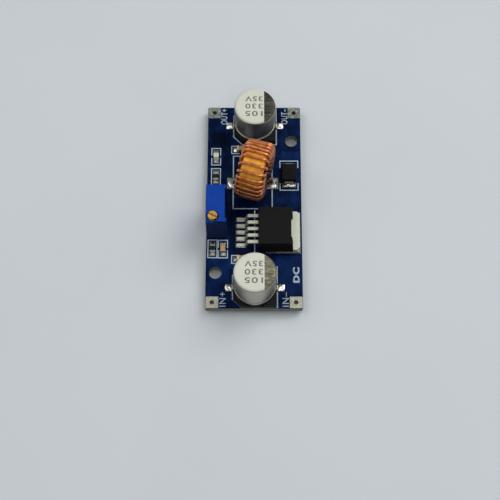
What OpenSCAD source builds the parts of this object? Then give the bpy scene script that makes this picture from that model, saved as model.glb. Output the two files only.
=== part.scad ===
// Step-down converter module: a circuit board with terminal pads at its four corners, two
// aluminium-can capacitors, a toroid inductor, a five-lead regulator, a diode, a multi-turn
// trimmer and a few chip parts.
// Origin: centre of the board, on the surface that the solder stubs stand on.
// +Y points to the output end, +Z up from the populated side. Millimetres.

/* [Circuit board] */
// Width of the board, along X
board_w = 23; // [22.8:0.1:25]
// Length of the board, along Y
board_l = 54; // [53.6:0.2:58]
// Thickness of the board
board_t = 1.6; // [1:0.1:2.4]
// Radius of the board's corners
board_corner_r = 0.3; // [0.1:0.1:1]
// Height of the board's underside above the surface it stands on
standing_h = 1; // [0.7:0.1:1.6]

/* [Mounting holes] */
// Diameter of the two mounting holes
mount_hole_d = 3; // [2.4:0.1:3.2]
// Distance from a long edge to a mounting hole's centre
mount_edge_x = 2.3; // [2:0.1:2.6]
// Distance from the output end to its mounting hole's centre
mount_edge_out = 9.55; // [9.2:0.05:10]
// Distance from the input end to its mounting hole's centre
mount_edge_in = 9.05; // [8.6:0.05:9.6]

/* [Terminals] */
// Width of a terminal pad, along X
terminal_w = 3; // [2.4:0.1:3.4]
// Length of a terminal pad, along Y
terminal_l = 2.9; // [2.4:0.1:3.2]
// Distance from the board's edges to a terminal pad
terminal_inset = 0.1; // [0.05:0.05:0.4]
// Wall of the tinned metal barrel that lines a terminal's hole
barrel_wall = 0.17; // [0.17:0.01:0.25]
// Diameter of the wire hole in a terminal
terminal_hole_d = 1.1; // [0.8:0.1:1.4]

/* [Copper, solder and print] */
// Thickness of the tinned copper pads and of the plating in the holes
copper_t = 0.05; // [0.03:0.01:0.1]
// How far a small pad reaches beyond the lead that it carries
pad_margin = 0.25; // [0.1:0.05:0.4]
// Width of the copper ring around a soldered hole on the underside
ring_w = 0.65; // [0.4:0.05:0.9]
// Thickness of the screen print
print_t = 0.03; // [0.02:0.01:0.05]
// Width of a screen-printed line
print_w = 0.25; // [0.1:0.05:0.3]
// Gap from a part's outline to the screen-printed line around it
print_gap = 0.15; // [0.1:0.05:0.3]
// Gap between a lead and the solder or plating around it
joint_gap = 0.02; // [0.01:0.01:0.04]

/* [Capacitors] */
// Diameter of a capacitor's can
can_d = 10; // [8:0.1:10.2]
// Height of a capacitor above the board
capacitor_h = 10; // [8:0.1:12]
// Width and length of a capacitor's plastic base
base_w = 10.3; // [10.3:0.1:10.8]
// Thickness of the base under the can
base_floor_t = 0.8; // [0.6:0.1:1.2]
// Height of the corner walls of the base
base_wall_h = 1.9; // [1.4:0.1:2.4]
// Chamfer on the two corners of the base at the positive lead
base_chamfer = 2; // [1.2:0.1:2.4]
// Radius of the can's top shoulder
can_shoulder_r = 0.7; // [0.3:0.1:1.2]
// Depth of the bead groove around the foot of the can
bead_depth = 0.35; // [0.15:0.05:0.5]
// Width of the bead groove
bead_w = 1; // [0.7:0.1:1.3]
// Width of a capacitor lead
can_lead_w = 1.1; // [0.8:0.1:1.4]
// Distance between the tips of a capacitor's two leads
can_lead_span = 12.2; // [11.8:0.1:12.6]
// Sideways place of both capacitors
capacitor_x = 0.2; // [-0.2:0.1:0.3]
// Distance from the board's end to a capacitor's centre
capacitor_edge_y = 5.25; // [5.2:0.05:5.6]

/* [Inductor] */
// Outer diameter of the ring core
core_od = 12.7; // [12:0.1:13.4]
// Inner diameter of the ring core
core_id = 7.7; // [7.5:0.1:8.2]
// Width of the ring core
core_w = 5.4; // [4.8:0.1:5.8]
// Radius of the core's edges
core_edge_r = 0.7; // [0.3:0.1:0.9]
// Diameter of the winding wire
wire_d = 0.8; // [0.6:0.02:0.8]
// Number of turns
winding_turns = 24; // [18:1:24]
// Gap between the wire and the core's faces
wire_gap = 0.1; // [0.06:0.01:0.2]
// Angle the ring is turned by, seen from above
inductor_turn = 15; // [8:1:18]
// Sideways place of the ring's centre
inductor_x = 0.2; // [0:0.1:0.4]
// Place of the ring's centre along the board
inductor_y = 5.6; // [5.4:0.1:6]
// Gap between the winding and the board
inductor_lift = 0.25; // [0.15:0.05:0.6]
// Distance between the two lead holes
inductor_pitch = 9.5; // [9.3:0.1:10]
// How far the point midway between the lead holes lies from the ring's middle, along X
inductor_hole_dx = -0.55; // [-0.8:0.05:0]
// How far the lead holes lie from the ring's middle, along Y
inductor_hole_dy = 0.15; // [-0.3:0.05:0.3]
// Width and length of an inductor pad
inductor_pad_w = 3; // [2.4:0.1:3.2]

/* [Regulator] */
// Length of the moulded body, along Y
reg_body_l = 10.16; // [9.6:0.01:10.4]
// Width of the moulded body, along X
reg_body_w = 8.3; // [7.8:0.1:8.6]
// Height of the body's top above the board
reg_h = 4.4; // [4:0.1:5]
// Thickness of the metal tab
tab_t = 1.27; // [1:0.01:1.4]
// How far the tab reaches beyond the body
tab_reach = 1.65; // [1.2:0.05:2]
// Corner chamfer of the tab
tab_chamfer = 0.7; // [0.3:0.1:1]
// Distance between neighbouring leads
reg_pitch = 1.7; // [1.6:0.01:1.75]
// Width of a regulator lead
reg_lead_w = 0.8; // [0.6:0.05:0.95]
// Thickness of a regulator lead
reg_lead_t = 0.4; // [0.3:0.05:0.5]
// Height of the leads above the board where they leave the body
reg_lead_h = 2.3; // [2:0.1:2.6]
// Reach of the leads from the body to the tips of their feet
reg_lead_reach = 5.15; // [4.9:0.05:5.4]
// Length of a lead's foot
reg_foot_l = 2; // [1.6:0.1:2.2]
// Gap from the board's edge to the tab
reg_edge_gap = 0.55; // [0.3:0.05:0.7]
// Place of the regulator's centre along the board
reg_y = -7.5; // [-7.7:0.1:-7.4]

/* [Diode] */
// Length of the diode's body, along Y
diode_l = 4.5; // [4:0.1:4.8]
// Width of the diode's body
diode_w = 3.6; // [3.2:0.1:3.9]
// Height of the diode's body
diode_h = 2.3; // [2:0.1:2.6]
// Width of a diode lead
diode_lead_w = 2.1; // [1.8:0.1:2.3]
// Distance between the outer faces of the diode's leads
diode_span = 5.4; // [5.2:0.1:5.6]
// Gap from the inductor's pad to the diode's body
diode_gap = 0.85; // [0.7:0.05:0.9]
// Place of the diode's centre along the board
diode_y = 7.9; // [7.7:0.1:8.2]

/* [Trimmer] */
// Width of the trimmer's housing, along X
trimmer_w = 4.83; // [4.83:0.01:5.2]
// Length of the trimmer's housing, along Y
trimmer_l = 9.53; // [9.53:0.01:10]
// Height of the housing's top above the board
trimmer_h = 10; // [9.9:0.1:10.6]
// Height of the housing's feet
trimmer_foot_h = 0.3; // [0.2:0.05:0.4]
// Gap from the board's edge to the housing
trimmer_edge_gap = 0.15; // [0.1:0.05:0.3]
// Place of the housing's centre along the board
trimmer_y = -4.3; // [-4.3:0.1:-4]
// Diameter of the adjusting screw's head
screw_d = 2.19; // [2:0.01:2.3]
// How far the screw stands above the housing
screw_stand = 0.5; // [0.2:0.1:0.9]
// Width of the screwdriver slot
slot_w = 0.4; // [0.3:0.05:0.6]
// Depth of the screwdriver slot
slot_depth = 0.7; // [0.4:0.05:0.8]
// Angle of the screwdriver slot
slot_turn = -27; // [-90:1:90]
// Number of teeth on the rotor
rotor_teeth = 30; // [26:1:31]
// Spacing of the rotor's teeth, in millimetres of pitch diameter per tooth
rotor_module = 0.2; // [0.19:0.005:0.2]
// Diameter of a trimmer pin
pin_d = 0.5; // [0.4:0.02:0.56]
// Distance between neighbouring trimmer pins
pin_pitch = 2.54; // [2.4:0.01:2.6]

/* [Chip parts] */
// Length of a chip part
chip_l = 2; // [1.8:0.1:2.2]
// Width of a chip part
chip_w = 1.25; // [1:0.05:1.4]
// Height of a chip resistor
resistor_h = 0.55; // [0.4:0.05:0.7]
// Height of a chip capacitor
ceramic_h = 1.1; // [0.8:0.1:1.25]
// Height of the power light
led_h = 0.9; // [0.8:0.05:1.1]
// Length of the metal ends of a chip part
chip_end_l = 0.4; // [0.3:0.05:0.5]
// Thickness of the metal ends of a chip part
chip_end_t = 0.06; // [0.04:0.01:0.1]
// Distance from the board's edge to the middle of the light and its resistor
light_edge_x = 2.13; // [1.7:0.01:2.4]
// Distance from the board's edge to the middle of the divider's resistor
divider_edge_x = 1.55; // [1.5:0.05:1.9]
// Gap between the divider's resistor and its ceramic capacitor
divider_gap = 1.25; // [1.2:0.05:1.6]
// Distance from the output capacitor's base to the middle of the ceramic capacitor beside it
output_ceramic_gap = 1.6; // [1.2:0.1:2]
// Place of the input ceramic capacitor in the gap from the input capacitor's base to the regulator's pads
input_ceramic_share = 0.41; // [0.35:0.01:0.6]
// How far the pads reach beyond the ends of a chip part
chip_pad_reach = 0.85; // [0.5:0.05:0.9]

/* [Hidden] */
$fn = 64;
eps = 0.01;

// ---- levels and places ----
board_top = standing_h + board_t;
pad_top = copper_t;                       // levels are measured from the board's top face
under_pad = -board_t - copper_t;

terminal_x = board_w / 2 - terminal_inset - terminal_w / 2;
terminal_y = board_l / 2 - terminal_inset - terminal_l / 2;
mount_x = board_w / 2 - mount_edge_x;
mount_at = [[mount_x, board_l / 2 - mount_edge_out], [-mount_x, mount_edge_in - board_l / 2]];
barrel_r = terminal_hole_d / 2 + barrel_wall;

can_r = can_d / 2;
capacitor_y = board_l / 2 - capacitor_edge_y;
can_lead_t = 0.25;
can_lead_z = pad_top + can_lead_t / 2;
base_z = pad_top + can_lead_t;            // the base stands on its two flat leads
can_pad_w = can_lead_w + 3 * pad_margin;
can_pad_reach = can_lead_span / 2 + 0.9;
can_pad_inner = base_w / 2 - 1.2;

wire_r = wire_d / 2;
ring_r = (core_od + core_id) / 4;         // radius of the core's centre line
coil_half_h = (core_od - core_id) / 4 + wire_r + wire_gap;
coil_half_w = core_w / 2 + wire_r + wire_gap;
coil_outer_r = ring_r + coil_half_h + wire_r;
inductor_z = coil_outer_r + inductor_lift;
lead_hole_r = wire_r + 0.12;
solder_rise = 0.7;                        // height of the solder around a lead of the inductor

reg_x1 = board_w / 2 - reg_edge_gap - tab_reach;   // tab side of the body
reg_x0 = reg_x1 - reg_body_w;                      // lead side of the body
reg_mid_x = (reg_x0 + reg_x1) / 2;
reg_foot_tip = reg_x0 - reg_lead_reach;
slug_w = 6.4;                                      // length of the tab hidden in the body
tab_l = reg_body_l - 0.1;
reg_draft = 0.3;                                   // lean of the body's upper faces
reg_pad_w = reg_lead_w + 0.3;
reg_recess = 0.45;                                 // step in the body's tab side
reg_recess_l = 6;

diode_lead_t = 0.2;
diode_pad_l = 2;
diode_pad_reach = 0.6;                             // how far a pad reaches beyond the lead
diode_lead_z = 1.15;                               // height at which the leads leave the body

trimmer_x = -board_w / 2 + trimmer_edge_gap + trimmer_w / 2;
side_wall = 0.7;
end_wall = 0.35;
trimmer_ceiling = trimmer_h - 1.6;
screw_notch = 0.9;                                 // depth of the corner notch around the screw
screw_inset = [1.62, 1.4];                        // screw's centre from the housing's outer corner
screw_at = screw_inset - [trimmer_w, trimmer_l] / 2;
screw_neck_r = 0.7;
turn_gap = 0.05;                                   // running clearance at the turning pieces
rotor_r = rotor_teeth * rotor_module / 2;
worm_pitch = PI * rotor_module;
worm_r = 0.65;                                     // radius at which the thread meets the teeth
tooth_h = 0.15;                                    // height of thread and teeth past that radius
tooth_w = 0.38 * worm_pitch;
thread_w = 0.32 * worm_pitch;
flank = tan(20);
rotor_t = 0.6;
rotor_at = [screw_at.x, screw_at.y + rotor_r + worm_r, 5.1];
axle_r = 0.6;
wiper_r = 2.1;
element_x = screw_at.x + 1.35;                     // near face of the resistive element
element_t = 0.5;
potting_top = 1.2;
pin_x = trimmer_x + element_x + element_t + pin_d / 2;
pin_hole_r = pin_d / 2 + 0.12;

inductor_hole_x = inductor_x + inductor_hole_dx;
inductor_hole_y = inductor_y + inductor_hole_dy;
inductor_holes = [for (s = [-1, 1]) [inductor_hole_x + s * inductor_pitch / 2, inductor_hole_y]];
diode_x = inductor_holes[1].x + inductor_pad_w / 2 + diode_gap + diode_w / 2;

// chip parts: centre and the angle of their length from +Y
led_at = [light_edge_x - board_w / 2, 13.1];
led_resistor_at = [light_edge_x - board_w / 2, 7.5];
divider_resistor_at = [divider_edge_x - board_w / 2, -11.75];
divider_ceramic_at = [divider_resistor_at.x + chip_w + divider_gap, -11.8];
output_ceramic_at = [-3.25, capacitor_y - base_w / 2 - output_ceramic_gap];
input_base_edge = base_w / 2 - capacitor_y;
reg_pads_edge = reg_y - 2 * reg_pitch - reg_pad_w / 2;
input_ceramic_at = [-3.05, input_base_edge + input_ceramic_share * (reg_pads_edge - input_base_edge)];
chip_gap = 0.06;                                   // solder film between a chip and its pads

// ---- helpers ----
module on_board() { translate([0, 0, board_top]) children(); }
module at_chip(place, turn = 0) { on_board() translate([place.x, place.y, 0]) rotate(turn) children(); }

function unit(v) = v / norm(v);
// Offset of a bent strip's side at point i, for half its thickness
function mitre(p, i) =
    let (a = i > 0 ? unit(p[i] - p[i - 1]) : unit(p[1] - p[0]),
         b = i < len(p) - 1 ? unit(p[i + 1] - p[i]) : a,
         n1 = [-a.y, a.x],
         n2 = [-b.y, b.x])
    (n1 + n2) / (1 + n1 * n2);
// Outline of a strip of thickness t that follows the points p
function strip(p, t) = concat(
    [for (i = [0 : len(p) - 1]) p[i] + mitre(p, i) * t / 2],
    [for (i = [len(p) - 1 : -1 : 0]) p[i] - mitre(p, i) * t / 2]);

// A strip bent in the XZ plane and w wide along Y
module bent_strip(p, t, w) { rotate([90, 0, 0]) linear_extrude(w, center = true) polygon(strip(p, t)); }
// A plate centred on [x, y], standing on level z
module plate(x, y, w, l, t, z = 0) { translate([x - w / 2, y - l / 2, z]) cube([w, l, t]); }
// A cylinder between two levels
module post(x, y, r, z0, z1) { translate([x, y, z0]) cylinder(r = r, h = z1 - z0); }
// A printed line through the points p
module printed_line(p) {
    for (i = [0 : len(p) - 2])
        let (d = p[i + 1] - p[i], u = unit(d) * print_w / 2, n = [-u.y, u.x])
        polygon([p[i] - u + n, p[i] - u - n, p[i + 1] + u - n, p[i + 1] + u + n]);
}
// A printed frame of half-width a and half-length b, broken over the middle of its long or short sides
module printed_frame(c, a, b, side_break = 0, end_break = 0) {
    for (sx = [-1, 1], sy = [-1, 1])
        translate(c)
            printed_line([[sx * a, sy * side_break], [sx * a, sy * b], [sx * end_break, sy * b]]);
}
// A wedge of solder that rises to h over a run, w wide, facing +X
module solder_wedge(x, y, w, run, h, z = pad_top) {
    translate([x, y, z]) rotate([90, 0, 0]) linear_extrude(w, center = true)
        polygon([[0, 0], [run, 0], [run * 0.35, h * 0.4], [0, h]]);
}

// ---- board ----
module board_outline() {
    square([board_w - 2 * board_corner_r, board_l], center = true);
    square([board_w, board_l - 2 * board_corner_r], center = true);
    for (sx = [-1, 1], sy = [-1, 1])
        translate([sx * (board_w / 2 - board_corner_r), sy * (board_l / 2 - board_corner_r)])
            circle(board_corner_r);
}

module circuit_board() {
    color("midnightblue") on_board() difference() {
        translate([0, 0, -board_t]) linear_extrude(board_t) board_outline();
        for (h = mount_at) post(h.x, h.y, mount_hole_d / 2, -board_t - 1, 1);
        for (sx = [-1, 1], sy = [-1, 1])
            post(sx * terminal_x, sy * terminal_y, barrel_r, -board_t - 1, 1);
        for (h = inductor_holes) post(h.x, h.y, lead_hole_r, -board_t - 1, 1);
        for (i = [-1 : 1]) post(pin_x, trimmer_y + i * pin_pitch, pin_hole_r, -board_t - 1, 1);
    }
}

module terminal(sx, sy) {
    color("silver") on_board() translate([sx * terminal_x, sy * terminal_y, 0]) difference() {
        union() {
            plate(0, 0, terminal_w, terminal_l, copper_t);
            plate(0, 0, terminal_w, terminal_l, copper_t, under_pad);
            post(0, 0, barrel_r, under_pad, copper_t);
        }
        post(0, 0, terminal_hole_d / 2, under_pad - 1, 1);
    }
}
module output_plus_terminal() { terminal(-1, 1); }
module output_minus_terminal() { terminal(1, 1); }
module input_plus_terminal() { terminal(-1, -1); }
module input_minus_terminal() { terminal(1, -1); }

module capacitor_pads() {
    color("silver") on_board()
        for (sx = [-1, 1], sy = [-1, 1])
            plate(capacitor_x + sx * (can_pad_reach + can_pad_inner) / 2, sy * capacitor_y,
                  can_pad_reach - can_pad_inner, can_pad_w, copper_t);
}

module inductor_pads() {
    color("silver") on_board() difference() {
        for (h = inductor_holes) plate(h.x, h.y, inductor_pad_w, inductor_pad_w, copper_t);
        for (h = inductor_holes) post(h.x, h.y, lead_hole_r, -1, 1);
    }
}

module regulator_pads() {
    color("silver") on_board() {
        for (i = [-2 : 2])
            plate(reg_foot_tip + reg_foot_l / 2, reg_y + i * reg_pitch,
                  reg_foot_l + 2 * pad_margin, reg_pad_w, copper_t);
        plate((reg_x1 - slug_w + reg_x1 + tab_reach + 0.2) / 2, reg_y,
              slug_w + tab_reach + 0.2, tab_l + 0.7, copper_t);
    }
}

module diode_pads() {
    color("silver") on_board()
        for (s = [-1, 1])
            plate(diode_x, diode_y + s * (diode_span / 2 + diode_pad_reach - diode_pad_l / 2),
                  diode_w - pad_margin, diode_pad_l, copper_t);
}

module chip_pad_pair() {
    inner = chip_l / 2 - chip_end_l - 0.1;
    outer = chip_l / 2 + chip_pad_reach;
    for (s = [-1, 1]) plate(0, s * (inner + outer) / 2, chip_w + 0.1, outer - inner, copper_t);
}
module chip_pads() {
    color("silver") {
        for (p = [led_at, led_resistor_at, divider_resistor_at, divider_ceramic_at])
            at_chip(p) chip_pad_pair();
        for (p = [output_ceramic_at, input_ceramic_at])
            at_chip(p, 90) chip_pad_pair();
    }
}

module underside_ring(x, y, r) {
    translate([x, y, under_pad]) difference() {
        cylinder(r = r + ring_w, h = copper_t);
        translate([0, 0, -1]) cylinder(r = r, h = 2);
    }
}
module underside_pads() {
    color("silver") on_board() {
        for (h = inductor_holes) underside_ring(h.x, h.y, lead_hole_r);
        for (i = [-1 : 1]) underside_ring(pin_x, trimmer_y + i * pin_pitch, pin_hole_r);
        plate(reg_mid_x + 0.5, reg_y, reg_body_w, reg_body_l, copper_t, under_pad);
    }
}

module screen_print() {
    half = base_w / 2 + print_gap;
    cut = base_chamfer + 0.2;
    lead_clear = can_pad_w / 2 + print_gap + print_w / 2;
    end_y = min(half, board_l / 2 - capacitor_y - print_w);
    coil_x = inductor_pitch / 2;
    coil_y0 = reg_y + reg_body_l / 2 + 1.3;
    coil_y1 = inductor_y + coil_outer_r + 0.4;
    pad_clear = inductor_pad_w / 2 + print_gap + print_w / 2;
    reg_line_x = reg_x0 - 0.85;
    chip_a = chip_w / 2 + print_gap + 1.25 * print_w;
    chip_b = chip_l / 2 + chip_pad_reach + 0.2 + print_w;
    flat_b = chip_w / 2 + print_gap + print_w;
    color("lightsteelblue") on_board() linear_extrude(print_t) intersection() {
        square([board_w, board_l], center = true);
        union() {
            for (s = [-1, 1]) translate([capacitor_x, s * capacitor_y]) scale([1, s]) {
                printed_line([[-half, lead_clear], [-half, end_y - cut], [-half + cut, end_y], [half, end_y],
                              [half, lead_clear]]);
                printed_line([[-half, -lead_clear], [-half, -half + cut], [-half + cut, -half], [half, -half],
                              [half, -lead_clear]]);
            }
            translate([inductor_hole_x, 0]) {
                printed_line([[-coil_x, inductor_hole_y - pad_clear], [-coil_x, coil_y0],
                              [reg_x0 - inductor_hole_x - print_gap, coil_y0]]);
                printed_line([[-coil_x, inductor_hole_y + pad_clear], [-coil_x, coil_y1], [coil_x, coil_y1],
                              [coil_x, inductor_hole_y + pad_clear]]);
                printed_line([[coil_x, inductor_hole_y - pad_clear], [coil_x, reg_y + reg_body_l / 2 + 0.5]]);
            }
            printed_line([[reg_line_x, coil_y0 - 0.6], [reg_line_x, reg_y - reg_body_l / 2 - 0.8]]);
            printed_frame([diode_x, diode_y], diode_w / 2 + print_gap + print_w, diode_span / 2 + 1.3, 2.2);
            for (p = [led_resistor_at, divider_resistor_at]) printed_frame(p, chip_a, chip_b);
            for (p = [led_at, divider_ceramic_at]) printed_frame(p, chip_a, chip_b, 0.4);
            for (p = [output_ceramic_at, input_ceramic_at]) printed_frame(p, chip_b, flat_b, 0, 0.5);
        }
    }
}

// ---- capacitors ----
module capacitor_outline() {
    a = base_w / 2;
    polygon([[a, -a], [a, a], [base_chamfer - a, a], [-a, a - base_chamfer], [-a, base_chamfer - a],
             [base_chamfer - a, -a]]);
}

module capacitor_base() {
    wall_gap = 4.4;                      // opening between the corner walls
    color("#191a1b") difference() {
        translate([0, 0, base_z]) linear_extrude(base_wall_h - base_z) capacitor_outline();
        post(0, 0, can_r + eps, base_z + base_floor_t, base_wall_h + 1);
        for (turn = [0, 90]) rotate(turn)
            plate(0, 0, base_w + 1, wall_gap, base_wall_h, base_z + base_floor_t);
    }
}

module capacitor_can() {
    z0 = base_z + base_floor_t;
    bead_z = base_wall_h + bead_w / 2 + 0.1;
    bead_r = (bead_w * bead_w / 4 + bead_depth * bead_depth) / (2 * bead_depth);
    color("#d9dacf") rotate_extrude() difference() {
        union() {
            translate([0, z0]) square([can_r, capacitor_h - can_shoulder_r - z0]);
            translate([0, z0]) square([can_r - can_shoulder_r, capacitor_h - z0]);
            intersection() {
                translate([can_r - can_shoulder_r, capacitor_h - can_shoulder_r]) circle(can_shoulder_r);
                square([can_r, capacitor_h]);
            }
        }
        translate([can_r - bead_depth + bead_r, bead_z]) circle(bead_r);
    }
}

module capacitor_leads() {
    inner = 1.2;
    color("#c8c8c0")
        for (s = [-1, 1])
            plate(s * (can_lead_span / 2 + inner) / 2, 0, can_lead_span / 2 - inner, can_lead_w,
                  can_lead_t, pad_top);
}

module output_capacitor_can() { on_board() translate([capacitor_x, capacitor_y, 0]) capacitor_can(); }
module output_capacitor_base() { on_board() translate([capacitor_x, capacitor_y, 0]) capacitor_base(); }
module output_capacitor_leads() { on_board() translate([capacitor_x, capacitor_y, 0]) capacitor_leads(); }
module input_capacitor_can() { on_board() translate([capacitor_x, -capacitor_y, 0]) capacitor_can(); }
module input_capacitor_base() { on_board() translate([capacitor_x, -capacitor_y, 0]) capacitor_base(); }
module input_capacitor_leads() { on_board() translate([capacitor_x, -capacitor_y, 0]) capacitor_leads(); }

module capacitor_solder() {
    tip = can_lead_span / 2;
    color("#d4d5d2") on_board()
        for (sx = [-1, 1], sy = [-1, 1])
            translate([capacitor_x, sy * capacitor_y, 0]) rotate(sx > 0 ? 0 : 180)
                solder_wedge(tip, 0, can_lead_w + 0.5, can_pad_reach - tip - 0.1, can_lead_t + 0.15);
}

// ---- inductor ----
// The ring stands upright. Its own frame has X along the ring's axis, Y level and Z up.
module at_inductor() {
    on_board() translate([inductor_x, inductor_y, inductor_z]) rotate(-inductor_turn) children();
}

module inductor_core() {
    h = (core_od - core_id) / 4 - core_edge_r;
    w = core_w / 2 - core_edge_r;
    color("#c08a2c") at_inductor() rotate([0, 90, 0]) rotate_extrude() translate([ring_r, 0]) {
        square([2 * h, core_w], center = true);
        square([2 * h + 2 * core_edge_r, 2 * w], center = true);
        for (sx = [-1, 1], sy = [-1, 1]) translate([sx * h, sy * w]) circle(core_edge_r);
    }
}

// Winding: each turn follows the core's rounded section, with four points to a corner, while
// its place along the ring moves on. The turns are spread wider at the top of the outside.
lead_gap_deg = 16;                        // part of the ring left bare at the bottom
corner_steps = 4;
turn_steps = 4 * corner_steps;
wire_sides = 8;
flat_h = (core_od - core_id) / 4 - core_edge_r;
flat_w = core_w / 2 - core_edge_r;
bend_r = core_edge_r + wire_r + wire_gap;
bend_l = PI / 2 * bend_r;
turn_l = 4 * (flat_h + flat_w + bend_l);
// Way along a turn to the start of each bend, from the middle of the ring's inside
bend_from = [for (k = [0 : 3]) k * bend_l + flat_w + 2 * floor(k / 2) * flat_w + 2 * ceil(k / 2) * flat_h];
function ring_angle(u) = -90 + lead_gap_deg / 2 + (360 - lead_gap_deg) * u / winding_turns;
function spread(g) = 10 * cos(g);         // how far the outside of a turn moves along the ring
function coil_point(turn, j) =
    let (k = floor(j / corner_steps),
         swing = 90 * (j % corner_steps) / (corner_steps - 1),
         a = 90 * k + swing,
         w = (k < 2 ? flat_w : -flat_w) + bend_r * sin(a),
         out = (k == 1 || k == 2 ? flat_h : -flat_h) - bend_r * cos(a),
         g0 = ring_angle(turn + (bend_from[k] + bend_l * swing / 90) / turn_l),
         g = g0 + spread(g0) * (coil_half_h + out) / (2 * coil_half_h))
    [w, (ring_r + out) * cos(g), (ring_r + out) * sin(g)];
// Place of a lead hole in the ring's own frame
function in_ring(h) =
    let (dx = h.x - inductor_x, dy = h.y - inductor_y, c = cos(inductor_turn), s = sin(inductor_turn))
    [c * dx - s * dy, s * dx + c * dy];
lead_end_z = -inductor_z - board_t - standing_h * 0.6;
// Smooth way from the coil's first or last point out to a lead hole and straight down
function lead_path(from, side, hole) =
    let (p = in_ring(hole),
         knee = [p.x, p.y, -coil_outer_r * 0.55],
         mid = [side * (coil_half_w + wire_d * 0.9), (from.y + p.y) / 2, from.z + 1.5])
    [for (k = [0 : 7]) let (t = k / 8)
        pow(1 - t, 2) * mid + 2 * t * (1 - t) * [p.x, p.y, mid.z + 0.3] + t * t * knee];
coil_points = [for (i = [corner_steps : winding_turns * turn_steps - corner_steps - 1])
    coil_point(floor(i / turn_steps), i % turn_steps)];
start_lead = lead_path(coil_points[0], 1, inductor_holes[1]);
end_lead = lead_path(coil_points[len(coil_points) - 1], -1, inductor_holes[0]);
start_foot = in_ring(inductor_holes[1]);
end_foot = in_ring(inductor_holes[0]);
wire_path = concat(
    [[start_foot.x, start_foot.y, lead_end_z], [start_foot.x, start_foot.y, -coil_outer_r]],
    [for (i = [len(start_lead) - 1 : -1 : 0]) start_lead[i]],
    coil_points,
    end_lead,
    [[end_foot.x, end_foot.y, -coil_outer_r], [end_foot.x, end_foot.y, lead_end_z]]);

// A tube swept along p, with one side direction carried from ring to ring
module swept_tube(p, r, sides) {
    n = len(p);
    tangent = [for (i = [0 : n - 1]) unit(p[min(i + 1, n - 1)] - p[max(i - 1, 0)])];
    normal = [for (i = 0, v = unit(cross(tangent[0], [1, 0.3, 0.2])); i < n;
                   i = i + 1,
                   v = i < n ? unit(v - (v * tangent[i]) * tangent[i]) : v) v];
    verts = [for (i = [0 : n - 1], k = [0 : sides - 1])
        let (b = cross(tangent[i], normal[i]), a = 360 * k / sides)
        p[i] + r * (cos(a) * normal[i] + sin(a) * b)];
    faces = concat(
        [[for (k = [sides - 1 : -1 : 0]) k]],
        [for (i = [0 : n - 2], k = [0 : sides - 1])
            let (a = i * sides, b = a + sides, m = (k + 1) % sides)
            [a + k, a + m, b + m, b + k]],
        [[for (k = [0 : sides - 1]) (n - 1) * sides + k]]);
    polyhedron(verts, [for (f = faces) [for (k = [len(f) - 1 : -1 : 0]) f[k]]]);
}

module inductor_winding() {
    color("#c87d45") at_inductor() swept_tube(wire_path, wire_r, wire_sides);
}

module lead_solder(x, y, hole_r, r0, r1, z0, z1) {
    translate([x, y, z0]) difference() {
        cylinder(r1 = r0, r2 = r1, h = z1 - z0);
        translate([0, 0, -1]) cylinder(r = hole_r, h = z1 - z0 + 2);
    }
}
module inductor_solder() {
    color("#d4d5d2") on_board()
        for (h = inductor_holes)
            lead_solder(h.x, h.y, wire_r + joint_gap, inductor_pad_w * 0.38, wire_r * 1.4, pad_top,
                        pad_top + solder_rise);
}

// ---- regulator ----
module regulator_body() {
    half = reg_body_l / 2;
    slug_top = pad_top + tab_t;
    color("#1e1f1e") on_board() difference() {
        translate([0, reg_y, 0]) intersection() {
            rotate([90, 0, 0]) linear_extrude(reg_body_l, center = true)
                polygon([[reg_x0 + 0.15, pad_top + 0.1], [reg_x1, pad_top + 0.1], [reg_x1, slug_top + 0.6],
                         [reg_x1 - reg_draft, reg_h], [reg_x0 + reg_draft, reg_h], [reg_x0, reg_lead_h]]);
            rotate([90, 0, 90]) linear_extrude(board_w, center = true)
                polygon([[-half, pad_top], [half, pad_top], [half, reg_lead_h], [half - reg_draft, reg_h],
                         [reg_draft - half, reg_h], [-half, reg_lead_h]]);
        }
        plate(reg_x1 - slug_w / 2 + 0.5, reg_y, slug_w + 1, tab_l, tab_t + 1, pad_top - 1);
        plate(reg_x1, reg_y, 2 * reg_recess, reg_recess_l, reg_h, slug_top);
    }
}

module regulator_tab() {
    x0 = reg_x1 - slug_w;
    x1 = reg_x1 + tab_reach;
    y = tab_l / 2;
    color("#c8ccbc") on_board() translate([0, reg_y, pad_top]) linear_extrude(tab_t)
        polygon([[x0, -y], [x1 - tab_chamfer, -y], [x1, tab_chamfer - y], [x1, y - tab_chamfer],
                 [x1 - tab_chamfer, y], [x0, y]]);
}

// Leads: out of the body, down, and along the board
reg_foot_z = pad_top + reg_lead_t / 2;
reg_lead_line = [[reg_x0 + 0.02, reg_lead_h], [reg_foot_tip + reg_foot_l + 0.75, reg_lead_h],
                 [reg_foot_tip + reg_foot_l, reg_foot_z], [reg_foot_tip, reg_foot_z]];
module regulator_leads() {
    color("#b9bbae") on_board() difference() {
        for (i = [-2 : 2])
            translate([0, reg_y + i * reg_pitch, 0]) bent_strip(reg_lead_line, reg_lead_t, reg_lead_w);
        regulator_lead_face();
    }
}
// The body's lead side, which the leads end at
module regulator_lead_face() {
    translate([0, reg_y + reg_body_l / 2 + 1, 0]) rotate([90, 0, 0]) linear_extrude(reg_body_l + 2)
        polygon([[reg_x0 + 0.15, pad_top + 0.1], [reg_x0, reg_lead_h], [reg_x0 + reg_draft, reg_h],
                 [reg_x0 + 1, reg_h], [reg_x0 + 1, pad_top + 0.1]]);
}

module regulator_solder() {
    color("#d4d5d2") on_board() {
        for (i = [-2 : 2])
            translate([reg_foot_tip, reg_y + i * reg_pitch, 0]) rotate(180)
                solder_wedge(0, 0, reg_lead_w, pad_margin, reg_lead_t * 0.7);
        solder_wedge(reg_x1 + tab_reach, reg_y, tab_l - 2 * tab_chamfer, 0.18, tab_t * 0.5);
    }
}

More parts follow.
